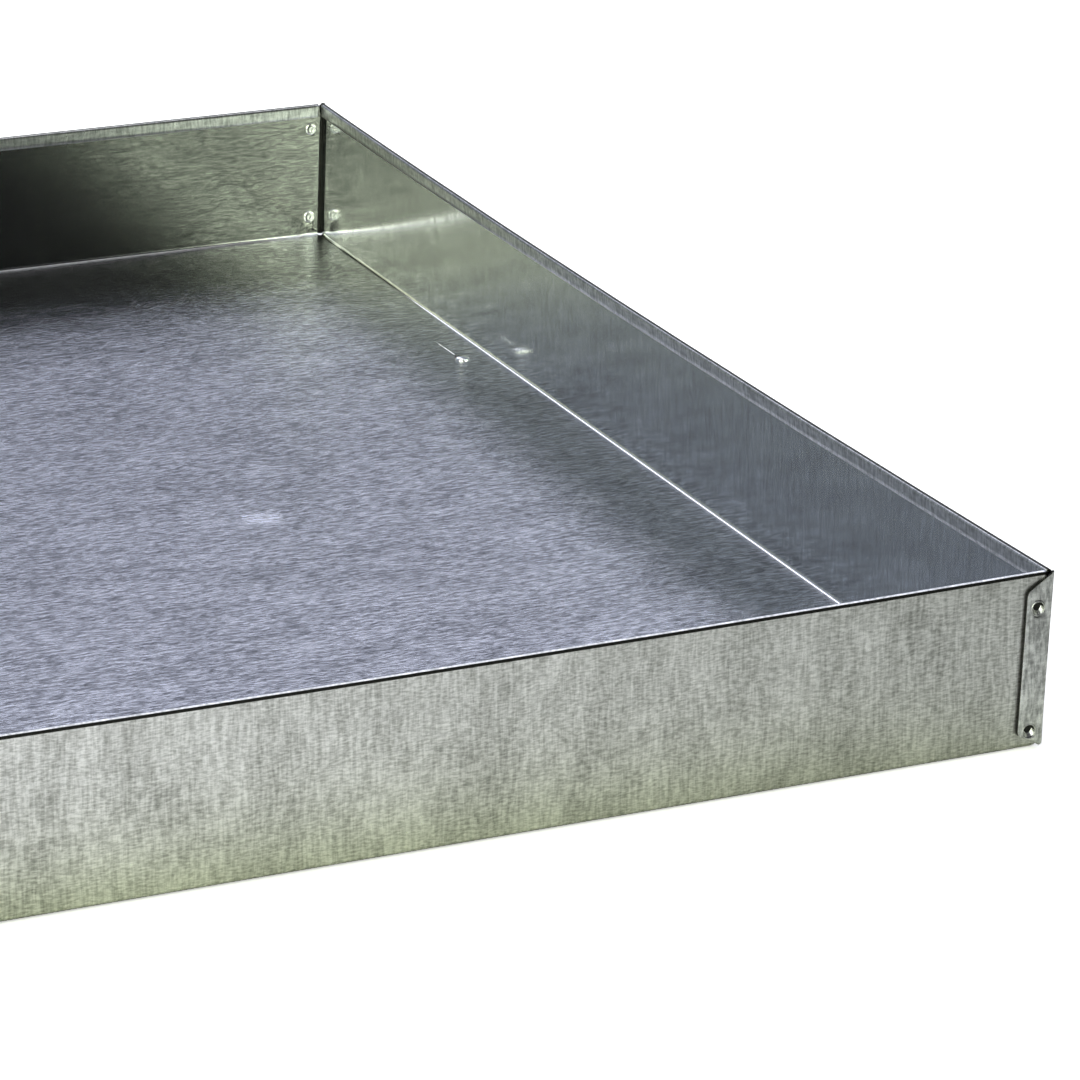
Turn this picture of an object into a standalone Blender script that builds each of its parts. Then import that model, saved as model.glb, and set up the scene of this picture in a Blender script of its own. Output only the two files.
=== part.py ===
"""A shallow rectangular tray folded from one galvanised steel sheet, with riveted corners.

Metres, +Z up. The origin is the centre of the underside. X runs along the end walls (front
and back), Y along the longer side walls, and the front is at -Y.

The sheet is drawn as its middle surface: a flat floor whose edges are bent up into walls, the
walls folded inwards into a hem at the top, and the side walls' ends bent round the corners
into tabs that lie on the outside of the end walls. Solidify then gives it its thickness.
"""

import math

import bmesh
import bpy
from mathutils import Matrix, Vector

# The tray, outside
WIDTH = 0.450
LENGTH = 0.652
HEIGHT = 0.060
SHEET = 0.0008
CLEARANCE = 0.0003  # between surfaces that lie on each other

# Bends and hem: radii of the sheet's middle surface
BEND_RADIUS = 0.0016
TAB_BEND_RADIUS = 0.0011
HEM_DEPTH = 0.0055
HEM_SETBACK = 0.0012  # how much shorter than its wall a hem is, at each end
HEM_RADIUS = (SHEET + CLEARANCE) / 2

# Corners
SIDE_RELIEF = 0.0010  # how far short of the floor's corner a side wall's bend line ends
END_RELIEF = 0.0004  # the same for an end wall
END_TOP_REACH = {-1: -0.0002, 1: 0.0008}  # how much further an end wall reaches at its top
FLOOR_CORNER_CUT = 0.0002
TAB_WIDTH = 0.0097  # from the tray's outside
TAB_LOW_AT_CORNER = 0.0010
TAB_LOW_AT_EDGE = 0.0052
TAB_HIGH_AT_EDGE = 0.0540
TAB_CORNER_RADIUS = 0.0013

# How the walls have sprung: the side walls lean out at the corners and back in at the middle,
# and the front wall leans out at the middle
CORNER_FLARE = 0.0025
SIDE_BOW = 0.0042
FRONT_BOW = 0.0030

# Rivets
RIVET_FROM_CORNER = {"front": 0.0055, "back": 0.0065}
RIVET_HEIGHTS = {
    "front": {"lower": 0.0064, "upper": 0.0482},
    "back": {"lower": 0.0094, "upper": 0.0490},
}
SHANK_RADIUS = 0.0019
HEAD_RADIUS = 0.0026
HEAD_HEIGHT = 0.0010
HEAD_EDGE = 0.0003
DIMPLE_RADIUS = 0.0009
DIMPLE_DEPTH = 0.00035
FLANGE_RADIUS = 0.0026
FLANGE_HEIGHT = 0.0003
MOUTH_RADIUS = 0.0023
THROAT_RADIUS = 0.0015
BORE_RADIUS = 0.0012  # of the hollow, inside the throat
BORE_END_RADIUS = 0.0008
HOLLOW_DEPTH = 0.0016

# Smoothness
WALL_STATIONS = 14
BEND_STEPS = 4
HEM_STEPS = 6
ROUND_STEPS = 20
DOME_STEPS = 3
TAB_CORNER_STEPS = 3

# Where the sheet's middle surface lies
FLOOR_Z = SHEET / 2
WALL_FOOT_Z = FLOOR_Z + BEND_RADIUS
WALL_TOP_Z = HEIGHT - SHEET / 2 - HEM_RADIUS
SIDE_X = WIDTH / 2 - SHEET / 2
TAB_Y = LENGTH / 2 - SHEET / 2
END_Y = TAB_Y - SHEET - CLEARANCE
FLOOR_X = SIDE_X - BEND_RADIUS
FLOOR_Y = END_Y - BEND_RADIUS
LAP_Y = (TAB_Y + END_Y) / 2
SIDE_HALF = FLOOR_Y - SIDE_RELIEF
END_HALF = FLOOR_X - END_RELIEF
SIDE_REACH = TAB_Y - TAB_BEND_RADIUS
NEAR = 0.00005  # how close a point counts as on a line
CUTTER_LENGTH = 8 * SHEET

UP = Vector((0, 0, 1))


def clear_scene():
    for obj in list(bpy.data.objects):
        bpy.data.objects.remove(obj, do_unlink=True)


def new_collection(name):
    collection = bpy.data.collections.new(name)
    bpy.context.scene.collection.children.link(collection)
    return collection


def new_material(name, colour, roughness):
    material = bpy.data.materials.new(name)
    material.use_nodes = True
    shader = material.node_tree.nodes["Principled BSDF"]
    shader.inputs["Base Color"].default_value = (*colour, 1)
    shader.inputs["Metallic"].default_value = 1
    shader.inputs["Roughness"].default_value = roughness
    return material


def object_from(bm, name, collection):
    mesh = bpy.data.meshes.new(name)
    bm.to_mesh(mesh)
    bm.free()
    obj = bpy.data.objects.new(name, mesh)
    collection.objects.link(obj)
    return obj


def sprung(point):
    """Where a point of the squarely folded tray lies once the walls have sprung."""
    rise = point.z / HEIGHT
    across = point.x / (WIDTH / 2)
    along = point.y / (LENGTH / 2)
    side_lean = CORNER_FLARE - SIDE_BOW * (1 - along**2)
    end_lean = FRONT_BOW * (1 - across**2) if along < 0 else 0
    return point + Vector((side_lean * rise * across, end_lean * rise * along, 0))


def extruded(bm, edges):
    """Adds a strip of sheet of no width to these edges and returns its free edges."""
    made = set(bmesh.ops.extrude_edge_only(bm, edges=edges)["geom"])
    return [
        edge
        for edge in made
        if isinstance(edge, bmesh.types.BMEdge) and made.issuperset(edge.verts)
    ]


def verts_of(edges):
    return list({vert for edge in edges for vert in edge.verts})


def extended(bm, edges, step):
    """Carries the sheet on, flat, by the vector step."""
    edges = extruded(bm, edges)
    bmesh.ops.translate(bm, verts=verts_of(edges), vec=step)
    return edges


def bent(bm, edges, centre, axis, angle, steps):
    """Carries the sheet on round a bend about an axis through the centre."""
    turn = Matrix.Rotation(angle / steps, 3, axis)
    for _ in range(steps):
        edges = extruded(bm, edges)
        bmesh.ops.rotate(bm, verts=verts_of(edges), cent=centre, matrix=turn)
    return edges


def stations(half_length):
    return [half_length * (2 * i / WALL_STATIONS - 1) for i in range(WALL_STATIONS + 1)]


def add_floor(bm):
    """The flat floor, with points along each bend line and its corners cut off."""
    side_line = stations(SIDE_HALF)
    end_line = [-END_HALF, *stations(END_HALF - HEM_SETBACK), END_HALF]
    quarter = [(FLOOR_X, y) for y in side_line]
    quarter += [(FLOOR_X, FLOOR_Y - FLOOR_CORNER_CUT), (FLOOR_X - FLOOR_CORNER_CUT, FLOOR_Y)]
    quarter += [(x, FLOOR_Y) for x in reversed(end_line)]
    quarter += [(FLOOR_CORNER_CUT - FLOOR_X, FLOOR_Y), (-FLOOR_X, FLOOR_Y - FLOOR_CORNER_CUT)]
    outline = quarter + [(-x, -y) for x, y in quarter]
    bm.faces.new([bm.verts.new((x, y, FLOOR_Z)) for x, y in outline])


def edges_where(bm, holds):
    return [edge for edge in bm.edges if all(holds(vert.co) for vert in edge.verts)]


def add_wall(bm, outward, plane, half_length, end_steps, hem_reach):
    """Bends one wall up and hems it, and returns its upright end edges with their directions.

    plane is the wall's distance out from the centre, half_length that of its bend line's ends,
    end_steps are what the flat wall gains past them, and hem_reach is where its hem ends.
    """
    along = UP.cross(outward)
    floor_edge = plane - BEND_RADIUS
    foot = edges_where(
        bm,
        lambda co: abs(co.dot(outward) - floor_edge) < NEAR
        and abs(co.dot(along)) < half_length + NEAR,
    )
    foot_centre = outward * floor_edge + UP * WALL_FOOT_Z
    foot = bent(bm, foot, foot_centre, along, -math.pi / 2, BEND_STEPS)
    extended(bm, foot, UP * (WALL_TOP_Z - WALL_FOOT_Z))

    ends = []
    for way in (along, -along):
        edges = edges_where(
            bm,
            lambda co, way=way: abs(co.dot(outward) - plane) < NEAR
            and abs(co.dot(way) - half_length) < NEAR
            and co.z > WALL_FOOT_Z - NEAR,
        )
        for step in end_steps:
            edges = extended(bm, edges, way * step)
        ends.append((way, edges))

    top = edges_where(
        bm,
        lambda co: abs(co.dot(outward) - plane) < NEAR
        and abs(co.dot(along)) < hem_reach + NEAR
        and abs(co.z - WALL_TOP_Z) < NEAR,
    )
    hem_centre = outward * (plane - HEM_RADIUS) + UP * WALL_TOP_Z
    hem = bent(bm, top, hem_centre, along, -math.pi, HEM_STEPS)
    extended(bm, hem, -UP * (HEM_DEPTH - SHEET / 2 - HEM_RADIUS))
    return ends


def low_and_high(edges):
    heights = sorted(verts_of(edges), key=lambda vert: vert.co.z)
    return heights[0], heights[-1]


def add_tab(bm, edges, side, way):
    """Bends a side wall's end round the corner, onto the outside of the end wall."""
    bend_x, bend_y = SIDE_X - TAB_BEND_RADIUS, TAB_Y - TAB_BEND_RADIUS
    centre = Vector((side * bend_x, way * bend_y, 0))
    edges = bent(bm, edges, centre, UP, side * way * math.pi / 2, BEND_STEPS)
    flat = TAB_WIDTH - SHEET / 2 - TAB_BEND_RADIUS
    edges = extended(bm, edges, Vector((-side * flat, 0, 0)))
    low, high = low_and_high(edges)
    low.co.z = TAB_LOW_AT_EDGE
    high.co.z = TAB_HIGH_AT_EDGE
    bmesh.ops.bevel(
        bm,
        geom=[low, high],
        offset=TAB_CORNER_RADIUS,
        segments=TAB_CORNER_STEPS,
        profile=0.5,
        affect="VERTICES",
    )


def make_pan(collection, material):
    bm = bmesh.new()
    add_floor(bm)
    for end in (-1, 1):
        outward = Vector((0, end, 0))
        for way, edges in add_wall(bm, outward, END_Y, END_HALF, (), END_HALF - HEM_SETBACK):
            low_and_high(edges)[1].co += way * END_TOP_REACH[end]
    side_steps = (SIDE_REACH - HEM_SETBACK - SIDE_HALF, HEM_SETBACK)
    for side in (-1, 1):
        outward = Vector((side, 0, 0))
        hem_reach = SIDE_REACH - HEM_SETBACK
        for way, edges in add_wall(bm, outward, SIDE_X, SIDE_HALF, side_steps, hem_reach):
            low_and_high(edges)[0].co.z = TAB_LOW_AT_CORNER
            add_tab(bm, edges, side, way.y)
    for vert in bm.verts:
        vert.co = sprung(vert.co)
    bmesh.ops.recalc_face_normals(bm, faces=bm.faces)
    pan = object_from(bm, "tray_pan", collection)
    pan.data.materials.append(material)
    thicken = pan.modifiers.new("sheet thickness", "SOLIDIFY")
    thicken.thickness = SHEET
    thicken.offset = 0
    thicken.use_even_offset = True
    return pan


def rivet_profile():
    """Half the section of a rivet, from the head's centre round to the hollow tail's centre.

    The rivet's axis is Z, with the head up, and z = 0 is the middle of the lapped sheets.
    """
    seat = SHEET + 1.5 * CLEARANCE
    head_top = seat + HEAD_HEIGHT
    dome = [(0, head_top - DIMPLE_DEPTH)]
    dome.append((DIMPLE_RADIUS / 2, head_top - DIMPLE_DEPTH))
    for i in range(DOME_STEPS + 1):
        angle = math.pi / 2 * i / DOME_STEPS
        radius = DIMPLE_RADIUS + (HEAD_RADIUS - DIMPLE_RADIUS) * math.sin(angle)
        dome.append((radius, seat + HEAD_EDGE + (HEAD_HEIGHT - HEAD_EDGE) * math.cos(angle)))
    shank = [(HEAD_RADIUS, seat), (SHANK_RADIUS, seat), (SHANK_RADIUS, -seat)]
    lip = -seat - FLANGE_HEIGHT
    flange = [(FLANGE_RADIUS, -seat), (FLANGE_RADIUS, -seat - FLANGE_HEIGHT / 2)]
    flange += [((FLANGE_RADIUS + MOUTH_RADIUS) / 2, lip), (MOUTH_RADIUS, lip)]
    hollow_end = lip + HOLLOW_DEPTH
    hollow = [(THROAT_RADIUS, -seat), (BORE_RADIUS, hollow_end - FLANGE_HEIGHT)]
    hollow += [(BORE_END_RADIUS, hollow_end), (0, hollow_end)]
    return dome + shank + flange + hollow


def make_rivet_mesh(material):
    mesh = bpy.data.meshes.new("rivet")
    points = [(radius, 0, z) for radius, z in rivet_profile()]
    mesh.from_pydata(points, [(i, i + 1) for i in range(len(points) - 1)], [])
    mesh.materials.append(material)
    return mesh


def make_rivet(name, mesh, place, way, collection):
    """A rivet in an end wall, with its head inside the tray; way is the wall's side, -1 or 1."""
    rivet = bpy.data.objects.new(name, mesh)
    collection.objects.link(rivet)
    rivet.location = place
    rivet.rotation_euler = (way * math.pi / 2, 0, 0)
    turned = rivet.modifiers.new("turned shape", "SCREW")
    turned.steps = ROUND_STEPS
    turned.render_steps = ROUND_STEPS
    turned.use_merge_vertices = True
    turned.merge_threshold = 0.00001
    turned.use_smooth_shade = True


def cut_rivet_hole(pan, place, collection):
    """A hole through the tab and the end wall, with the rivet's clearance round it."""
    bm = bmesh.new()
    radius = SHANK_RADIUS + CLEARANCE
    bmesh.ops.create_cone(
        bm,
        cap_ends=True,
        segments=ROUND_STEPS,
        radius1=radius,
        radius2=radius,
        depth=CUTTER_LENGTH,
        matrix=Matrix.Translation(place) @ Matrix.Rotation(math.pi / 2, 4, "X"),
    )
    cutter = object_from(bm, "rivet_hole_cutter", collection)
    cutter.hide_render = True
    cutter.display_type = "WIRE"
    hole = pan.modifiers.new("rivet hole", "BOOLEAN")
    hole.operation = "DIFFERENCE"
    hole.object = cutter


def make_tray():
    clear_scene()
    tray = new_collection("riveted_tray")
    cutters = new_collection("cutters")
    sheet_steel = new_material("galvanised_sheet", (0.52, 0.54, 0.53), 0.38)
    rivet_steel = new_material("zinc_plated_rivet", (0.70, 0.71, 0.70), 0.30)
    pan = make_pan(tray, sheet_steel)
    rivet_mesh = make_rivet_mesh(rivet_steel)
    for way, end in ((-1, "front"), (1, "back")):
        for side, hand in ((-1, "left"), (1, "right")):
            for level, height in RIVET_HEIGHTS[end].items():
                from_middle = side * (WIDTH / 2 - RIVET_FROM_CORNER[end])
                corner = Vector((from_middle, way * LAP_Y, height))
                place = sprung(corner)
                cut_rivet_hole(pan, place, cutters)
                make_rivet(f"{end}_{hand}_{level}_rivet", rivet_mesh, place, way, tray)


make_tray()
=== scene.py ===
"""The looks of the riveted galvanised tray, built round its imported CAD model.

Metres, +Z up, in the CAD model's own frame: X along the end walls, Y along the side walls, the
front at -Y. The pan is folded again here from a finer sheet than the CAD model's, with the same
bends, tabs and sprung walls, so that it can carry ripples, punched holes and drop-shaped hems.
"""

import math

import bmesh
import bpy
from mathutils import Matrix, Vector, noise


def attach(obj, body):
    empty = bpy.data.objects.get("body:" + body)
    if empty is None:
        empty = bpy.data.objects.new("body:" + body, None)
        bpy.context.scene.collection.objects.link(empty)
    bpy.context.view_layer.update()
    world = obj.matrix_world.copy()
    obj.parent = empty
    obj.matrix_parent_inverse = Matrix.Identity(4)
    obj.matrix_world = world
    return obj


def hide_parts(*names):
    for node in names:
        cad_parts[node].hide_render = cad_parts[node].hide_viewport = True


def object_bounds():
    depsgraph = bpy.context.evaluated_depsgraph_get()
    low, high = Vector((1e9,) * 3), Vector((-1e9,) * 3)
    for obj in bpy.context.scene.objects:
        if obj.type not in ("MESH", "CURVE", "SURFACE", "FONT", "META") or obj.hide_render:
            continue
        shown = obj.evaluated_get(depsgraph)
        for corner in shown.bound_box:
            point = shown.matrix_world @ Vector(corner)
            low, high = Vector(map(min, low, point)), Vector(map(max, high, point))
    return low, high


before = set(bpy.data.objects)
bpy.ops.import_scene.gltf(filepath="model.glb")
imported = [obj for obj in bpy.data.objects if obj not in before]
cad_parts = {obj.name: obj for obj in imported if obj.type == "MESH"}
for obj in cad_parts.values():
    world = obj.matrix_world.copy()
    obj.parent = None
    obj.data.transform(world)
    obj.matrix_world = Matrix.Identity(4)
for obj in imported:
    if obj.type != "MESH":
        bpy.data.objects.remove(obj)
cad_low, cad_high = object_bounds()

# The tray, as in the CAD model
WIDTH = 0.450
LENGTH = 0.652
HEIGHT = 0.060
SHEET = 0.0008
LAP_GAP = 0.0003
BEND_RADIUS = 0.0016  # of the sheet's middle surface
TAB_BEND_RADIUS = 0.0011
CORNER_FLARE = 0.0025
SIDE_BOW = 0.0042
FRONT_BOW = 0.0030

# Hem
HEM_DEPTH = 0.0055
HEM_RADIUS = 0.0008  # a drop-shaped hem, closed at its lower edge
HEM_CLOSING = 0.09  # radians past a half turn
# Painted shade: the first part of each hem's fold, as far round as these turns, is near-black steel, a
# dark line along the rim
FRONT_CREST_TURN = math.radians(50)  # how far round its fold a hem is painted near-black, as shade along the rim
CREST_TURN = math.radians(122)
HEM_SETBACK = 0.0012
FRONT_HEM_SETBACK = 0.0001

# Corners
SIDE_RELIEF = 0.0010
END_RELIEF = 0.0004
END_TOP_REACH = {-1: -0.0002, 1: 0.0008}  # how much further an end wall reaches at its top
TAB_WIDTH = 0.0097
TAB_LOW_AT_CORNER = 0.0010
TAB_LOW_AT_EDGE = 0.0052
TAB_HIGH_AT_CORNER = 0.0592
TAB_HIGH_AT_EDGE = 0.0540
TAB_CORNER_RADIUS = 0.0013
TAB_SPRING = 0.0002  # how far the tab's free edge stands off
TAB_CORNER_STEPS = 5
CORNER_TOP_Z = 0.0598

# Where the sheet's middle surface lies
FLOOR_Z = SHEET / 2
WALL_FOOT_Z = FLOOR_Z + BEND_RADIUS
WALL_TOP_Z = HEIGHT - SHEET / 2 - HEM_RADIUS
SIDE_X = WIDTH / 2 - SHEET / 2
TAB_Y = LENGTH / 2 - SHEET / 2
END_Y = TAB_Y - SHEET - LAP_GAP
FLOOR_X = SIDE_X - BEND_RADIUS
FLOOR_Y = END_Y - BEND_RADIUS
SIDE_HALF = FLOOR_Y - SIDE_RELIEF
END_HALF = FLOOR_X - END_RELIEF
SIDE_REACH = TAB_Y - TAB_BEND_RADIUS
NEAR = 0.00005

# Fineness
STATION = 0.006  # distance between points along a wall
CORNER_STATION = 0.0015  # the same near a corner
CORNER_REACH = 0.018
WALL_ROWS = 8
TAB_COLUMNS = 6
BEND_STEPS = 6
HEM_STEPS = 12
HEM_ROWS = 3
SHEET_SHARP = math.radians(50)  # the angle from which an edge is shaded sharp
RIVET_SHARP = math.radians(60)
PUNCH_REACH = 0.0040  # how far round a rivet's hole the sheet is finer
PUNCH_CUTS = 5

# How the sheet has been worked: heights of its ripples, and how many there are to a metre
FLOOR_RIPPLE = 0.0004
FLOOR_RIPPLES = 14
RIPPLE_EDGE = 0.03  # how far in from the walls the floor's ripples are full
WALL_RIPPLE = 0.00012
WALL_RIPPLES = 22
CORNER_PUCKER = 0.0012
CORNER_PUCKER_REACH = 0.014
CORNER_PUCKERS = 110
END_BEND_UNHIGHLIGHTED = 0.009  # how far from a corner an end wall's bend goes without its painted highlight
SIDE_BEND_UNHIGHLIGHTED = 0.045  # the same for a side wall's bend

UP = Vector((0, 0, 1))

# Marks on the floor
DRIP_HEAD = Vector((0.2112, 0.1300, SHEET))
DRIP_TAIL_END = Vector((0.2098, 0.1790, SHEET))
DRIP_RADIUS = 0.0031
DRIP_LENGTH = 0.0085
DRIP_THREAD = 0.0005
DRIP_FLATNESS = 0.45
DRIP_STEPS = 16
TAIL_STEPS = 20
THINNEST = 0.00001
SCUFF = Vector((0.0702, -0.0200, SHEET))
SCUFF_RADIUS = 0.011
SCUFF_RUB = 0.9
SCUFF_SCALE = 400.0
SCRATCH_STEPS = 10
SCRATCHES = (  # from and to, in millimetres from the scuff's centre, and half-width
    ((-1.5, -9.0), (1.0, 8.0), 0.55),
    ((1.0, -5.0), (3.0, 10.0), 0.40),
    ((-6.0, -2.5), (3.0, 0.5), 0.45),
    ((-2.0, -12.0), (5.5, -9.5), 0.45),
    ((-7.0, -7.0), (0.5, -6.0), 0.35),
)

# Rivets, where the CAD model's are
RIVET_FROM_CORNER = {"front": 0.0055, "back": 0.0065}
RIVET_HEIGHTS = {
    "front": {"lower": 0.0064, "upper": 0.0482},
    "back": {"lower": 0.0094, "upper": 0.0490},
}
HEAD_RADIUS = 0.0026
HEAD_HEIGHT = 0.0010
HEAD_EDGE = 0.0003
DIMPLE_RADIUS = 0.0008
DIMPLE_DEPTH = 0.00045
FLANGE_RADIUS = 0.0026
FLANGE_HEIGHT = 0.0003
MOUTH_RADIUS = 0.0021
BORE_RADIUS = 0.0023  # of the hole in the sheet, under the flange
THROAT_RADIUS = 0.0017
HOLLOW_DEPTH = 0.0017
HOLLOW_SLANT = 0.45  # how far the hollow climbs for its depth
DARK_FROM = 0.3  # the share of the hollow's depth from which its upper side is painted dark, as shade
END_FROM = 0.9  # the same for all of it
JUST_OVER = 1.01
WELD = 0.00001  # the seam of the turned section is closed within this
ROUND_STEPS = 48
ARC_STEPS = 6
# A rivet's hollow material is near-black steel that paints shade into its recess
HEAD, HOLLOW, FLANGE = range(3)  # the numbers of a rivet's materials

# The camera: where it stands from the front wall's right bottom corner
CAMERA_OFFSET = Vector((-0.70213, -1.21765, 0.57038))
CAMERA_YAW = 23.38
CAMERA_PITCH = 19.70
CAMERA_LENS = 155.94
CAMERA_SENSOR = 36

# Zones of the sheet: the numbers of the materials on its inner side; the outer side's follow
FLOOR, FOOT, BEND, END_WALL, SIDE_WALL, CREST, HEM, CORNER, TAB = ZONES = range(9)


# ---------------------------------------------------------------- camera, stage and light


def add_camera():
    data = bpy.data.cameras.new("camera")
    data.lens = CAMERA_LENS
    data.sensor_width = CAMERA_SENSOR
    data.clip_start = 0.01
    camera = bpy.data.objects.new("camera", data)
    bpy.context.scene.collection.objects.link(camera)
    corner = Vector((WIDTH / 2, -END_Y - SHEET / 2, 0))
    camera.location = corner + CAMERA_OFFSET
    camera.rotation_euler = (math.radians(90 - CAMERA_PITCH), 0, math.radians(-CAMERA_YAW))
    bpy.context.scene.camera = camera


def add_node(tree, kind, **inputs):
    """A shader node with the given input values, where _ stands for a space in an input's name."""
    node = tree.nodes.new(kind)
    for name, value in inputs.items():
        node.inputs[name.replace("_", " ")].default_value = value
    return node


def maths(tree, operation, *values):
    node = tree.nodes.new("ShaderNodeMath")
    node.operation = operation
    for socket, value in zip(node.inputs, values):
        if isinstance(value, bpy.types.NodeSocket):
            tree.links.new(value, socket)
        else:
            socket.default_value = value
    return node.outputs[0]


def mixed(tree, share, first, second):
    """The colour between first and second at this share."""
    node = tree.nodes.new("ShaderNodeMix")
    node.data_type = "RGBA"
    for socket, value in zip((node.inputs[0], node.inputs[6], node.inputs[7]), (share, first, second)):
        if isinstance(value, bpy.types.NodeSocket):
            tree.links.new(value, socket)
        elif isinstance(value, tuple):
            socket.default_value = (*value, 1)
        else:
            socket.default_value = value
    return node.outputs[2]


def mapped(tree, value, low, high, to_low=0.0, to_high=1.0, smooth=False):
    node = tree.nodes.new("ShaderNodeMapRange")
    node.interpolation_type = "SMOOTHSTEP" if smooth else "LINEAR"
    tree.links.new(value, node.inputs["Value"])
    node.inputs["From Min"].default_value = low
    node.inputs["From Max"].default_value = high
    node.inputs["To Min"].default_value = to_low
    node.inputs["To Max"].default_value = to_high
    return node.outputs["Result"]


def direction(azimuth, elevation):
    """A unit vector: azimuth 0 is +Y and 90 is +X."""
    a, e = math.radians(azimuth), math.radians(elevation)
    return Vector((math.sin(a) * math.cos(e), math.cos(a) * math.cos(e), math.sin(e)))


# The studio's light: a dark band round the horizon, a pale sky above it, and patches
HORIZON = (0.03, 0.033, 0.042)
SKY_RISE = (0.275, 0.60)  # the heights on the unit sphere over which the sky comes up
TOP_RISE = (0.6, 0.9)
WHITE = (1.0, 1.0, 1.0)
SKY = (1.62, 1.70, 2.08)
TOP_LIGHT = (1.5, 1.52, 1.6)
PATCHES = (  # azimuth, elevation, half-width and width of the edge in degrees, colour
    (-57, 32, 36, 16, (0.27, 0.30, 0.36)),
    (148, 25, 50, 30, (0.015, 0.015, 0.017)),
    (228, 24, 27, 2, (3.5, 3.8, 2.9)),
    (0, 32, 5, 4, (4.0, 4.0, 4.2)),
)

# The pale floor's tints, as the tray's walls mirror them
FLOOR_AFAR = (0.94, 0.93, 0.92)
FLOOR_NEAR = (0.84, 0.88, 0.69)
FLOOR_BESIDE = (0.42, 0.425, 0.39)

# The pale floor itself
STAGE_SIZE = 40
STAGE_GAP = 0.0002
STAGE_WHITE = (0.95, 0.95, 0.95)
STAGE_GLOW = (0.5, 0.5, 0.5)
NO_GLOW = (0, 0, 0)


def add_world():
    world = bpy.data.worlds.new("studio")
    world.use_nodes = True
    bpy.context.scene.world = world
    tree = world.node_tree
    tree.nodes.clear()
    looked = tree.nodes.new("ShaderNodeTexCoord").outputs["Generated"]
    split = tree.nodes.new("ShaderNodeSeparateXYZ")
    tree.links.new(looked, split.inputs[0])
    sky = mapped(tree, split.outputs["Z"], *SKY_RISE, smooth=True)
    top = mapped(tree, split.outputs["Z"], *TOP_RISE, smooth=True)
    colour = mixed(tree, top, mixed(tree, sky, HORIZON, SKY), TOP_LIGHT)
    for azimuth, elevation, half_width, edge, patch in PATCHES:
        dot = tree.nodes.new("ShaderNodeVectorMath")
        dot.operation = "DOT_PRODUCT"
        tree.links.new(looked, dot.inputs[0])
        dot.inputs[1].default_value = direction(azimuth, elevation)
        outside = math.cos(math.radians(half_width + edge / 2))
        inside = math.cos(math.radians(half_width - edge / 2))
        share = mapped(tree, dot.outputs["Value"], outside, inside, smooth=True)
        colour = mixed(tree, share, colour, patch)
    rays = tree.nodes.new("ShaderNodeLightPath")
    seen = mixed(tree, rays.outputs["Is Camera Ray"], colour, WHITE)
    background = tree.nodes.new("ShaderNodeBackground")
    tree.links.new(seen, background.inputs["Color"])
    output = tree.nodes.new("ShaderNodeOutputWorld")
    tree.links.new(background.outputs[0], output.inputs["Surface"])


def add_floor():
    bpy.ops.mesh.primitive_plane_add(size=STAGE_SIZE, location=(0, 0, cad_low.z - STAGE_GAP))
    floor = bpy.context.object
    floor.name = "studio_floor"
    material = bpy.data.materials.new("studio_floor")
    material.use_nodes = True
    tree = material.node_tree
    tree.nodes.clear()
    rays = tree.nodes.new("ShaderNodeLightPath").outputs["Is Camera Ray"]
    diffuse = tree.nodes.new("ShaderNodeBsdfDiffuse")
    place = tree.nodes.new("ShaderNodeSeparateXYZ")
    tree.links.new(tree.nodes.new("ShaderNodeTexCoord").outputs["Object"], place.inputs[0])
    beside = mapped(tree, place.outputs["X"], -WIDTH / 3, WIDTH, smooth=True)
    before = mapped(tree, place.outputs["Y"], -LENGTH / 2 - HEIGHT, -LENGTH / 2, smooth=True)
    mirrored = mixed(tree, before, FLOOR_AFAR, FLOOR_NEAR)
    mirrored = mixed(tree, beside, mirrored, FLOOR_BESIDE)
    tree.links.new(mixed(tree, rays, mirrored, STAGE_WHITE), diffuse.inputs["Color"])
    glow = tree.nodes.new("ShaderNodeEmission")
    tree.links.new(mixed(tree, rays, NO_GLOW, STAGE_GLOW), glow.inputs["Color"])
    both = tree.nodes.new("ShaderNodeAddShader")
    tree.links.new(diffuse.outputs[0], both.inputs[0])
    tree.links.new(glow.outputs[0], both.inputs[1])
    output = tree.nodes.new("ShaderNodeOutputMaterial")
    tree.links.new(both.outputs[0], output.inputs["Surface"])
    floor.data.materials.append(material)


# ---------------------------------------------------------------- materials

NOISE_SPAN = (0.38, 0.62)  # the part of a noise's range that is spread to 0 to 1
WANDER_SCALE = 45.0
ROUGH_DARK = 1.2  # roughness of the dark and light zinc, as shares of the material's own
ROUGH_LIGHT = 0.8
# Painted shade: the grain and the darkest and lightest tones of the near-black steel
SHADE_GRAIN_SCALE = 1500.0
SHADE_DARKEST = (0.01, 0.01, 0.01)
SHADE_LIGHTEST = (0.07, 0.07, 0.065)


def noise_at(tree, place, scale, detail=4.0, roughness=0.6):
    """Noise with this many features to a metre along X, Y and Z."""
    stretch = tree.nodes.new("ShaderNodeMapping")
    stretch.inputs["Scale"].default_value = scale
    tree.links.new(place, stretch.inputs["Vector"])
    made = add_node(tree, "ShaderNodeTexNoise", Scale=1.0, Detail=detail, Roughness=roughness)
    tree.links.new(stretch.outputs[0], made.inputs["Vector"])
    return made.outputs["Fac"]


def wandering(tree, place, scale, shift):
    """The place, moved to and fro by up to half the shift, so that strokes don't run quite straight."""
    wander = add_node(tree, "ShaderNodeTexNoise", Scale=scale, Detail=1.0)
    tree.links.new(place, wander.inputs["Vector"])
    moved = tree.nodes.new("ShaderNodeVectorMath")
    moved.operation = "MULTIPLY_ADD"
    tree.links.new(wander.outputs["Color"], moved.inputs[0])
    moved.inputs[1].default_value = (shift, shift, shift)
    tree.links.new(place, moved.inputs[2])
    return moved.outputs[0]


def weighted(tree, parts):
    """The sum of values, each spread to 0 to 1 and times its weight."""
    total = 0.0
    for value, weight in parts:
        total = maths(tree, "MULTIPLY_ADD", mapped(tree, value, *NOISE_SPAN), weight, total)
    return total


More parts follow.
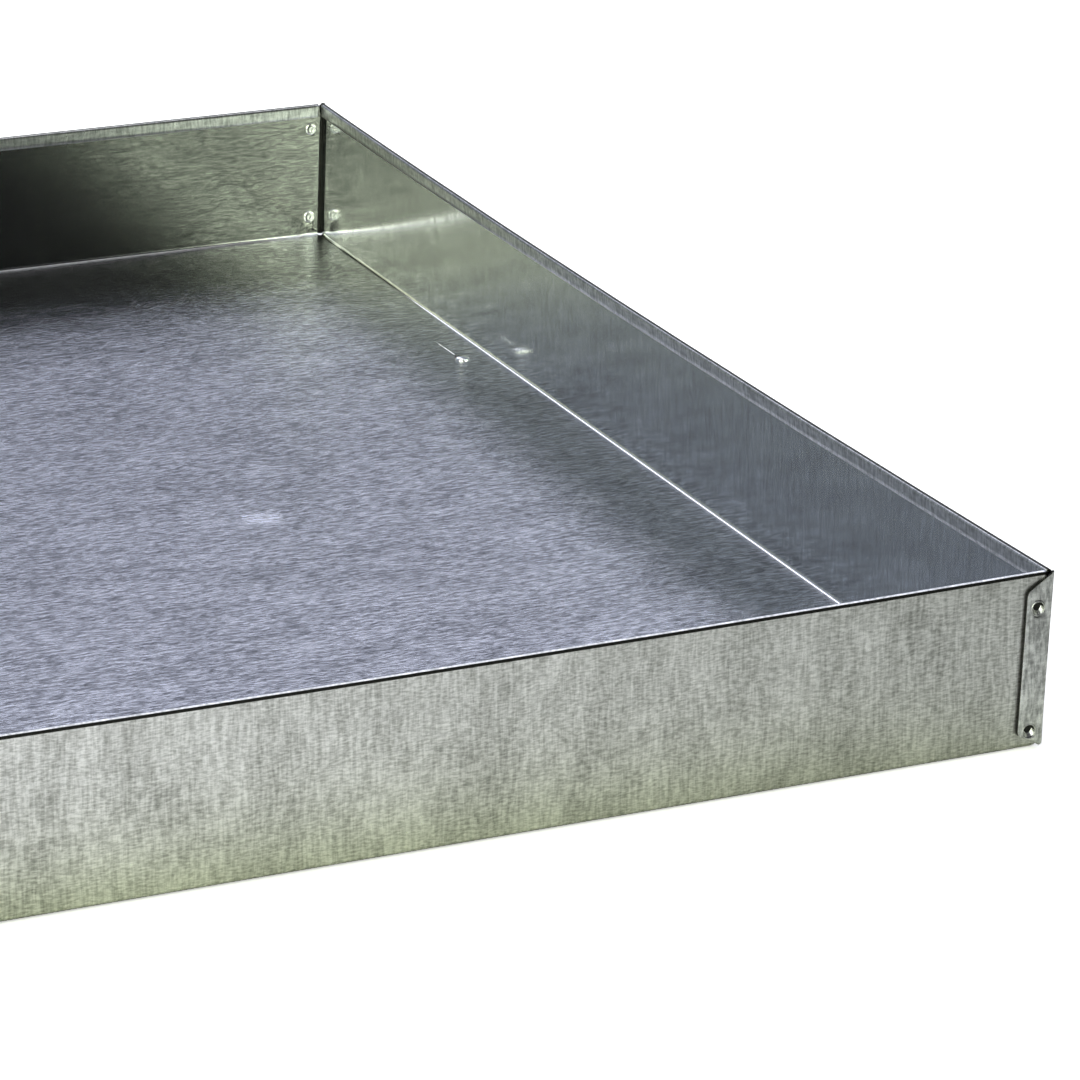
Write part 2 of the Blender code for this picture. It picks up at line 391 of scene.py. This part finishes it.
def zinc(name, layers, light, dark, roughness, relief, wander=0.002, scuffed=None):
    """Galvanised steel: layers of noise, each a scale along X, Y and Z with its weight.

    Where the layers' sum is high the zinc is light, smooth and raised by up to the relief.
    The coat is rubbed light round the scuffed place.
    """
    material = bpy.data.materials.new(name)
    material.use_nodes = True
    tree = material.node_tree
    shader = tree.nodes["Principled BSDF"]
    place = tree.nodes.new("ShaderNodeTexCoord").outputs["Object"]
    wandered = wandering(tree, place, WANDER_SCALE, wander)
    coat = weighted(tree, [(noise_at(tree, wandered, scale), weight) for scale, weight in layers])
    if scuffed is not None:
        away = tree.nodes.new("ShaderNodeVectorMath")
        away.operation = "DISTANCE"
        tree.links.new(wandering(tree, place, SCUFF_SCALE, SCUFF_RADIUS), away.inputs[0])
        away.inputs[1].default_value = scuffed + Vector((1, 1, 1)) * SCUFF_RADIUS / 2
        rub = mapped(tree, away.outputs["Value"], 0.0, SCUFF_RADIUS, SCUFF_RUB, 0.0, smooth=True)
        coat = maths(tree, "ADD", coat, rub)
    tree.links.new(mixed(tree, coat, dark, light), shader.inputs["Base Color"])
    rough = mapped(tree, coat, 0.0, 1.0, roughness * ROUGH_DARK, roughness * ROUGH_LIGHT)
    tree.links.new(rough, shader.inputs["Roughness"])
    shader.inputs["Metallic"].default_value = 1.0
    bump = add_node(tree, "ShaderNodeBump", Strength=1.0, Distance=relief)
    tree.links.new(coat, bump.inputs["Height"])
    tree.links.new(bump.outputs["Normal"], shader.inputs["Normal"])
    return material


def painted_shade_steel(name):
    """Painted shade: near-black steel on cut edges, in joints, along the hems' crests, under the walls'
    feet and in the rivets' hollows, standing in for the shade that falls there; on the cut edges it is
    partly their own dark steel.
    """
    material = bpy.data.materials.new(name)
    material.use_nodes = True
    tree = material.node_tree
    shader = tree.nodes["Principled BSDF"]
    place = tree.nodes.new("ShaderNodeTexCoord").outputs["Object"]
    grain = add_node(tree, "ShaderNodeTexNoise", Scale=SHADE_GRAIN_SCALE, Detail=3.0)
    tree.links.new(place, grain.inputs["Vector"])
    shade = mixed(tree, grain.outputs["Fac"], SHADE_DARKEST, SHADE_LIGHTEST)
    tree.links.new(shade, shader.inputs["Base Color"])
    shader.inputs["Metallic"].default_value = 1.0
    shader.inputs["Roughness"].default_value = 0.5
    return material


# ---------------------------------------------------------------- the folded sheet


def spread(low, high, count):
    return [low + (high - low) * i / count for i in range(count + 1)]


def grid_lines(half, marks):
    """Places along a wall, closer together near its ends, at every mark and at its own ends."""
    middle = half - CORNER_REACH
    outer = spread(middle, marks[0], round(CORNER_REACH / CORNER_STATION))[1:]
    positive = [*outer, *marks[1:], half]
    negative = [-place for place in reversed(positive)]
    return [*negative, *spread(-middle, middle, round(2 * middle / STATION)), *positive]


def add_floor_sheet(bm):
    """A grid with lines at every place where a bend line or a hem ends."""
    xs = grid_lines(FLOOR_X, [END_HALF - HEM_SETBACK, END_HALF - FRONT_HEM_SETBACK, END_HALF])
    ys = grid_lines(FLOOR_Y, [SIDE_HALF])
    made = bmesh.ops.create_grid(bm, x_segments=len(xs) - 1, y_segments=len(ys) - 1, size=0.5)
    for vert in made["verts"]:
        column = round((vert.co.x + 0.5) * (len(xs) - 1))
        row = round((vert.co.y + 0.5) * (len(ys) - 1))
        vert.co = (xs[column], ys[row], FLOOR_Z)


def edges_where(bm, holds):
    return [edge for edge in bm.edges if all(holds(vert.co) for vert in edge.verts)]


def verts_of(edges):
    return list({vert for edge in edges for vert in edge.verts})


def extruded(bm, edges, zone):
    made = set(bmesh.ops.extrude_edge_only(bm, edges=edges)["geom"])
    for item in made:
        if isinstance(item, bmesh.types.BMFace):
            item.material_index = zone
    return [
        item
        for item in made
        if isinstance(item, bmesh.types.BMEdge) and made.issuperset(item.verts)
    ]


def extended(bm, edges, step, zone, count=1):
    """Carries the sheet on, flat, by the vector step, in count strips."""
    for _ in range(count):
        edges = extruded(bm, edges, zone)
        bmesh.ops.translate(bm, verts=verts_of(edges), vec=step / count)
    return edges


def bent(bm, edges, centre, axis, angle, count, zone):
    """Carries the sheet on round a bend about an axis through the centre."""
    turn = Matrix.Rotation(angle / count, 3, axis)
    for _ in range(count):
        edges = extruded(bm, edges, zone)
        bmesh.ops.rotate(bm, verts=verts_of(edges), cent=centre, matrix=turn)
    return edges


def low_and_high(edges):
    heights = sorted(verts_of(edges), key=lambda vert: vert.co.z)
    return heights[0], heights[-1]


def add_wall(bm, outward, plane, half_length, end_steps, hem_reach, zone):
    """Bends one wall up and hems it, and returns its upright end edges with their directions."""
    along = UP.cross(outward)
    floor_edge = plane - BEND_RADIUS
    foot = edges_where(
        bm,
        lambda co: abs(co.dot(outward) - floor_edge) < NEAR
        and abs(co.dot(along)) < half_length + NEAR,
    )
    foot_centre = outward * floor_edge + UP * WALL_FOOT_Z
    foot = bent(bm, foot, foot_centre, along, -math.pi / 4, BEND_STEPS // 2, FOOT)
    foot = bent(bm, foot, foot_centre, along, -math.pi / 4, BEND_STEPS // 2, BEND)
    extended(bm, foot, UP * (WALL_TOP_Z - WALL_FOOT_Z), zone, WALL_ROWS)

    ends = []
    for way in (along, -along):
        edges = edges_where(
            bm,
            lambda co, way=way: abs(co.dot(outward) - plane) < NEAR
            and abs(co.dot(way) - half_length) < NEAR
            and co.z > WALL_FOOT_Z - NEAR,
        )
        for step in end_steps:
            edges = extended(bm, edges, way * step, CORNER)
        ends.append((way, edges))

    top = edges_where(
        bm,
        lambda co: abs(co.dot(outward) - plane) < NEAR
        and abs(co.dot(along)) < hem_reach + NEAR
        and abs(co.z - WALL_TOP_Z) < NEAR,
    )
    hem_centre = outward * (plane - HEM_RADIUS) + UP * WALL_TOP_Z
    turn = FRONT_CREST_TURN if outward.y < 0 else CREST_TURN
    crest = bent(bm, top, hem_centre, along, -turn, HEM_STEPS // 2, CREST)
    hem = bent(bm, crest, hem_centre, along, turn - math.pi - HEM_CLOSING, HEM_STEPS // 2, HEM)
    down = math.sin(HEM_CLOSING) * outward - math.cos(HEM_CLOSING) * UP
    extended(bm, hem, down * (HEM_DEPTH - SHEET / 2 - HEM_RADIUS), HEM, HEM_ROWS)
    return ends


def add_tab(bm, edges, side, way):
    """Bends a side wall's end round the corner, onto the outside of the end wall."""
    bend_x, bend_y = SIDE_X - TAB_BEND_RADIUS, TAB_Y - TAB_BEND_RADIUS
    centre = Vector((side * bend_x, way * bend_y, 0))
    low_and_high(edges)[1].co.z = CORNER_TOP_Z
    edges = bent(bm, edges, centre, UP, side * way * math.pi / 2, BEND_STEPS, TAB)
    flat = TAB_WIDTH - SHEET / 2 - TAB_BEND_RADIUS
    step = Vector((-side * flat, way * TAB_SPRING, 0)) / TAB_COLUMNS
    lows = spread(TAB_LOW_AT_CORNER, TAB_LOW_AT_EDGE, TAB_COLUMNS)
    highs = spread(TAB_HIGH_AT_CORNER, TAB_HIGH_AT_EDGE, TAB_COLUMNS)
    low_and_high(edges)[1].co.z = highs[0]
    for low_z, high_z in zip(lows[1:], highs[1:]):
        edges = extended(bm, edges, step, TAB)
        low, high = low_and_high(edges)
        low.co.z = low_z
        high.co.z = high_z
    bmesh.ops.bevel(
        bm,
        geom=[low, high],
        offset=TAB_CORNER_RADIUS,
        segments=TAB_CORNER_STEPS,
        profile=0.5,
        affect="VERTICES",
    )


def punch(bm, place):
    """Cuts a round hole for a rivet through an end wall and its tab."""

    def off_axis(co):
        return (co.xz - place.xz).length if abs(co.y - place.y) < SHEET + LAP_GAP else math.inf

    near = [face for face in bm.faces if off_axis(face.calc_center_median()) < PUNCH_REACH]
    edges = {edge for face in near for edge in face.edges}
    bmesh.ops.subdivide_edges(bm, edges=list(edges), cuts=PUNCH_CUTS, use_grid_fill=True)
    inner = [face for face in bm.faces if off_axis(face.calc_center_median()) < BORE_RADIUS]
    rim = {vert for face in inner for vert in face.verts}
    bmesh.ops.delete(bm, geom=inner, context="FACES")
    for vert in rim:
        if vert.is_valid:
            away = vert.co.xz - place.xz
            vert.co.xz = place.xz + away.normalized() * BORE_RADIUS


def sprung(point):
    """Where a point of the squarely folded tray lies once the walls have sprung."""
    rise = point.z / HEIGHT
    across = point.x / (WIDTH / 2)
    along = point.y / (LENGTH / 2)
    side_lean = CORNER_FLARE - SIDE_BOW * (1 - along**2)
    end_lean = FRONT_BOW * (1 - across**2) if along < 0 else 0
    return point + Vector((side_lean * rise * across, end_lean * rise * along, 0))


def worked(point):
    """Where a point lies once the sheet has been worked: gently rippled, and pushed up at corners."""
    ripple = 0.5 + 0.5 * noise.noise(point * FLOOR_RIPPLES)
    low = 1 - min(1, point.z / HEIGHT)
    inland = min(1, (FLOOR_Y - abs(point.y)) / RIPPLE_EDGE, (FLOOR_X - abs(point.x)) / RIPPLE_EDGE)
    rise = FLOOR_RIPPLE * ripple * low * max(0, inland)
    wave = WALL_RIPPLE * noise.noise(point * WALL_RIPPLES) * (1 - low)
    outward = Vector((point.x / WIDTH, point.y / LENGTH, 0))
    axis = Vector((1, 0, 0)) if abs(outward.x) > abs(outward.y) else Vector((0, 1, 0))
    corner = Vector((math.copysign(FLOOR_X, point.x), math.copysign(FLOOR_Y, point.y), 0))
    near = max(0, 1 - (point - corner).length / CORNER_PUCKER_REACH)
    pucker = CORNER_PUCKER * near**2 * noise.noise(point * CORNER_PUCKERS)
    return point + UP * (rise + abs(pucker) * low) + axis * (wave + pucker)


def rivet_places():
    """Where each rivet sits in the squarely folded tray, which way it points, and its node."""
    lap = (TAB_Y + END_Y) / 2
    for way, end in ((-1, "front"), (1, "back")):
        for side, hand in ((-1, "left"), (1, "right")):
            for level, height in RIVET_HEIGHTS[end].items():
                across = side * (WIDTH / 2 - RIVET_FROM_CORNER[end])
                yield Vector((across, way * lap, height)), way, f"{end}_{hand}_{level}_rivet"


def shorten_bend_highlights(bm):
    """Ends the bends' painted highlight short of the corners: there they take the side walls' zinc, not
    the bright bend zinc.
    """
    for face in bm.faces:
        centre = face.calc_center_median()
        from_side = WIDTH / 2 - abs(centre.x)
        from_end = LENGTH / 2 - abs(centre.y)
        unhighlighted = from_end < SIDE_BEND_UNHIGHLIGHTED if from_side < from_end else from_side < END_BEND_UNHIGHLIGHTED
        if face.material_index in (FOOT, BEND) and unhighlighted:
            face.material_index = SIDE_WALL


def folded_sheet():
    """The sheet's middle surface, folded, punched for the rivets and worked, facing inwards."""
    bm = bmesh.new()
    add_floor_sheet(bm)
    for end in (-1, 1):
        outward = Vector((0, end, 0))
        hem_reach = END_HALF - (FRONT_HEM_SETBACK if end < 0 else HEM_SETBACK)
        for way, edges in add_wall(bm, outward, END_Y, END_HALF, (), hem_reach, END_WALL):
            low_and_high(edges)[1].co += way * END_TOP_REACH[end]
    side_steps = (SIDE_REACH - HEM_SETBACK - SIDE_HALF, HEM_SETBACK)
    for side in (-1, 1):
        outward = Vector((side, 0, 0))
        hem_reach = SIDE_REACH - HEM_SETBACK
        for way, edges in add_wall(bm, outward, SIDE_X, SIDE_HALF, side_steps, hem_reach, SIDE_WALL):
            low_and_high(edges)[0].co.z = TAB_LOW_AT_CORNER
            add_tab(bm, edges, side, way.y)
    for place, _, _ in rivet_places():
        punch(bm, place)
    for vert in bm.verts:
        vert.co = worked(sprung(vert.co))
    shorten_bend_highlights(bm)
    bmesh.ops.recalc_face_normals(bm, faces=bm.faces)
    middle = min(bm.faces, key=lambda face: face.calc_center_median().length)
    if middle.normal.z < 0:
        bmesh.ops.reverse_faces(bm, faces=bm.faces)
    return bm


def mesh_from(bm, name):
    mesh = bpy.data.meshes.new(name)
    bm.to_mesh(mesh)
    bm.free()
    return mesh


def object_from(mesh, name, materials):
    for material in materials:
        mesh.materials.append(material)
    mesh.shade_smooth()
    made = bpy.data.objects.new(name, mesh)
    bpy.context.scene.collection.objects.link(made)
    return made


def make_pan(looks):
    """The pan; looks gives each zone's materials on its inner side, outer side and cut edges."""
    name = "tray_pan_sheet"
    materials = [look[side] for side in range(3) for look in looks.values()]
    mesh = mesh_from(folded_sheet(), name)
    pan = object_from(mesh, name, materials)
    mesh.set_sharp_from_angle(angle=SHEET_SHARP)
    thicken = pan.modifiers.new("sheet thickness", "SOLIDIFY")
    thicken.thickness = SHEET
    thicken.offset = 0
    thicken.use_even_offset = True
    thicken.material_offset = len(ZONES)
    thicken.material_offset_rim = 2 * len(ZONES)
    weigh = pan.modifiers.new("flat faces stay flat", "WEIGHTED_NORMAL")
    weigh.keep_sharp = True
    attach(pan, "root")
    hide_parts("tray_pan")


# ---------------------------------------------------------------- rivets


def arc(centre, width, height, start, stop):
    """Points round part of an ellipse, with the angles counted from +X."""
    angles = [start + (stop - start) * i / ARC_STEPS for i in range(ARC_STEPS + 1)]
    return [(centre[0] + width * math.cos(a), centre[1] + height * math.sin(a)) for a in angles]


def rivet_section():
    """Half a rivet's section as (radius, height), from its head's centre to its hollow's end."""
    right = math.pi / 2
    seat = SHEET + LAP_GAP / 2
    top = seat + HEAD_HEIGHT
    lip = -seat - FLANGE_HEIGHT
    points = [(0, top - DIMPLE_DEPTH)]
    points += arc((DIMPLE_RADIUS, top), DIMPLE_RADIUS / 2, DIMPLE_DEPTH, -right, 0)
    crown = DIMPLE_RADIUS * 1.5
    points += arc((crown, seat + HEAD_EDGE), HEAD_RADIUS - crown, HEAD_HEIGHT - HEAD_EDGE, right, 0)
    points += [(HEAD_RADIUS, seat), (MOUTH_RADIUS, seat)]
    points += [(MOUTH_RADIUS, -seat), (FLANGE_RADIUS, -seat)]
    ring = (FLANGE_RADIUS - MOUTH_RADIUS) / 2
    points += arc((MOUTH_RADIUS + ring, -seat), ring, FLANGE_HEIGHT, 0, -2 * right)[1:]
    deep = lip + HOLLOW_DEPTH
    points += arc((0, deep - FLANGE_HEIGHT), THROAT_RADIUS, FLANGE_HEIGHT, 0, right)
    return points


def slant_hollow(bm, way):
    """Makes the hollow climb as it goes in, and paints shade with near-black steel on its upper side
    and its end.
    """
    lip = -SHEET - LAP_GAP / 2 - FLANGE_HEIGHT
    for vert in bm.verts:
        depth = vert.co.z - lip
        if vert.co.xy.length < THROAT_RADIUS * JUST_OVER and depth < HOLLOW_DEPTH * JUST_OVER:
            vert.co.y += way * HOLLOW_SLANT * depth
    for face in bm.faces:
        centre = face.calc_center_median()
        depth = centre.z - lip
        in_bore = HOLLOW_DEPTH * DARK_FROM < depth < HOLLOW_DEPTH * JUST_OVER
        upper = way * centre.y > HOLLOW_SLANT * HOLLOW_DEPTH / 2
        near_axis = centre.xy.length < THROAT_RADIUS * 1.5
        if in_bore and near_axis and (upper or depth > HOLLOW_DEPTH * END_FROM):
            face.material_index = HOLLOW
        else:
            face.material_index = HEAD if centre.z > 0 else FLANGE


def make_rivet(node, place, way, materials):
    """A hollow rivet in an end wall: its domed head inside the tray, its hollow outside, with painted
    shade in it.
    """
    bm = bmesh.new()
    verts = [bm.verts.new((radius, 0, height)) for radius, height in rivet_section()]
    edges = [bm.edges.new(pair) for pair in zip(verts, verts[1:])]
    bmesh.ops.spin(
        bm, geom=[*verts, *edges], cent=(0, 0, 0), axis=UP, angle=math.tau, steps=ROUND_STEPS
    )
    bmesh.ops.remove_doubles(bm, verts=bm.verts, dist=WELD)
    slant_hollow(bm, way)
    bmesh.ops.recalc_face_normals(bm, faces=bm.faces)
    turn = Matrix.Rotation(way * math.pi / 2, 4, "X")
    bmesh.ops.transform(bm, matrix=Matrix.Translation(place) @ turn, verts=bm.verts)
    name = f"{node}_hollow"
    mesh = mesh_from(bm, name)
    rivet = object_from(mesh, name, materials)
    mesh.set_sharp_from_angle(angle=RIVET_SHARP)
    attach(rivet, "root")
    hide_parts(node)


def make_rivets(materials):
    for place, way, node in rivet_places():
        make_rivet(node, sprung(place), way, materials)


# ---------------------------------------------------------------- marks on the floor


def make_thread(name, points, flatness, material):
    """A flattened thread of zinc lying on the floor; points are (place, half-width)."""
    curve = bpy.data.curves.new(name, "CURVE")
    curve.dimensions = "3D"
    curve.bevel_depth = 1.0
    curve.bevel_resolution = 4
    curve.use_fill_caps = True
    spline = curve.splines.new("POLY")
    spline.points.add(len(points) - 1)
    for point, (place, half_width) in zip(spline.points, points):
        point.co = (place.x, place.y, 0, 1)
        point.radius = half_width
    loose = bpy.data.objects.new(name, curve)
    mesh = bpy.data.meshes.new_from_object(loose)
    bpy.data.objects.remove(loose)
    height = points[0][0].z
    for vert in mesh.vertices:
        vert.co.z = height + max(flatness * vert.co.z, -SHEET / 2)
    mesh.materials.clear()
    thread = object_from(mesh, name, [material])
    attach(thread, "root")


def make_drip(material):
    """A drop of zinc with a long thin tail."""
    way = DRIP_TAIL_END - DRIP_HEAD
    length = way.length
    half = DRIP_LENGTH / 2
    stops = [*spread(-half, half, DRIP_STEPS), *spread(half, length, TAIL_STEPS)[1:]]
    points = []
    for stop in stops:
        round_part = max(0, 1 - (2 * stop / DRIP_LENGTH) ** 2) ** 0.5
        drop = DRIP_RADIUS * round_part * max(0, 1 - stop / DRIP_LENGTH) ** 0.5
        thread = DRIP_THREAD * (1 - max(0, stop) / length) if stop > 0 else 0
        points.append((DRIP_HEAD + way * stop / length, max(drop, thread, THINNEST)))
    make_thread("zinc_drip", points, DRIP_FLATNESS, material)


def make_scratches(material):
    for number, (start, end, half_width) in enumerate(SCRATCHES, 1):
        first, last = (SCUFF + Vector((*ends, 0)) / 1000 for ends in (start, end))
        points = []
        for share in spread(0, 1, SCRATCH_STEPS):
            width = half_width / 1000 * (1 - (2 * share - 1) ** 2) ** 0.5
            points.append((first.lerp(last, share), max(width, THINNEST)))
        make_thread(f"floor_scratch_{number}", points, DRIP_FLATNESS / 2, material)


# ---------------------------------------------------------------- the scene

bpy.context.scene.view_settings.view_transform = "Standard"
add_camera()
add_world()
add_floor()

# Layers of noise: each one's features to a metre along X, Y and Z, and its weight
ALONG_FLOOR = (((170, 620, 60), 0.45), ((420, 1700, 60), 0.4), ((25, 50, 30), 0.15))
ALONG_END_WALL = (((300, 60, 1700), 0.7), ((150, 60, 900), 0.3))
UP_SIDE_WALL = (((5, 900, 130), 0.6), ((5, 380, 60), 0.3), ((5, 30, 25), 0.1))
UP_OUTER_WALL = (((900, 900, 110), 0.35), ((420, 420, 1500), 0.45), ((60, 60, 25), 0.2))
ACROSS_HEM = (((900, 900, 150), 0.6), ((200, 200, 500), 0.4))
UP_TAB = (((900, 60, 220), 0.6), ((300, 60, 600), 0.4))
ALL_WAYS = (((500, 500, 500), 1.0),)

# The zinc's colour where it is light and where it is dark
# The floor: near-black to near-white, wider than real zinc, so its light strokes are partly painted
# glints
FLOOR_SHADES = (0.93, 0.94, 0.97), (0.06, 0.065, 0.075)
# Painted highlight: the bends are near-white for the bright lines along them; the drip and scratches
# share this bright zinc as their own
BEND_SHADES = (0.97, 0.97, 0.96), (0.85, 0.85, 0.84)
# Painted shade: the end walls' inner sides are darker than the side walls' of the same sheet
END_SHADES = (0.46, 0.465, 0.44), (0.21, 0.215, 0.205)
SIDE_SHADES = (0.93, 0.95, 0.95), (0.60, 0.62, 0.62)
OUTER_SHADES = (0.96, 0.95, 0.95), (0.30, 0.30, 0.29)
HEM_SHADES = (0.90, 0.91, 0.90), (0.40, 0.41, 0.41)
TAB_SHADES = (0.97, 0.97, 0.98), (0.30, 0.30, 0.31)
RIVET_SHADES = (0.95, 0.95, 0.94), (0.75, 0.76, 0.75)

floor_zinc = zinc("zinc_floor", ALONG_FLOOR, *FLOOR_SHADES, 0.19, 0.00009, wander=0.004, scuffed=SCUFF)
bend_zinc = zinc("zinc_bend", ALL_WAYS, *BEND_SHADES, 0.13, 0.00001)
end_zinc = zinc("zinc_end_wall", ALONG_END_WALL, *END_SHADES, 0.12, 0.00001)
side_zinc = zinc("zinc_side_wall", UP_SIDE_WALL, *SIDE_SHADES, 0.12, 0.00001)
outer_zinc = zinc("zinc_outer_wall", UP_OUTER_WALL, *OUTER_SHADES, 0.34, 0.00004)
hem_zinc = zinc("zinc_hem", ACROSS_HEM, *HEM_SHADES, 0.34, 0.00004)
tab_zinc = zinc("zinc_tab", UP_TAB, *TAB_SHADES, 0.34, 0.00005)
rivet_zinc = zinc("zinc_rivet", ALL_WAYS, *RIVET_SHADES, 0.20, 0.00002)
# Near-black steel that paints shade into gaps, folds, feet and hollows
shade_steel = painted_shade_steel("steel_painted_shade")

# Each zone's inner, outer and cut-edge materials; most cut edges are near-black, their own dark steel
# with painted shade along the gaps
make_pan(
    {
        FLOOR: (floor_zinc, outer_zinc, shade_steel),
        # the feet's outer side is near-black: a painted contact shadow along the bottom
        FOOT: (bend_zinc, shade_steel, shade_steel),
        BEND: (bend_zinc, outer_zinc, shade_steel),
        # the end walls' cut edges take the bright bend zinc: a painted highlight
        END_WALL: (end_zinc, outer_zinc, bend_zinc),
        SIDE_WALL: (side_zinc, outer_zinc, shade_steel),
        # painted shade: a dark line along each hem's crest
        CREST: (shade_steel, shade_steel, shade_steel),
        HEM: (hem_zinc, hem_zinc, hem_zinc),
        CORNER: (side_zinc, outer_zinc, shade_steel),
        # the tabs' inner side is near-black: painted shade in the lap
        TAB: (shade_steel, tab_zinc, shade_steel),
    }
)
# The rivets' hollows carry painted shade on their upper sides and ends
make_rivets([rivet_zinc, shade_steel, tab_zinc])
make_drip(bend_zinc)
make_scratches(bend_zinc)
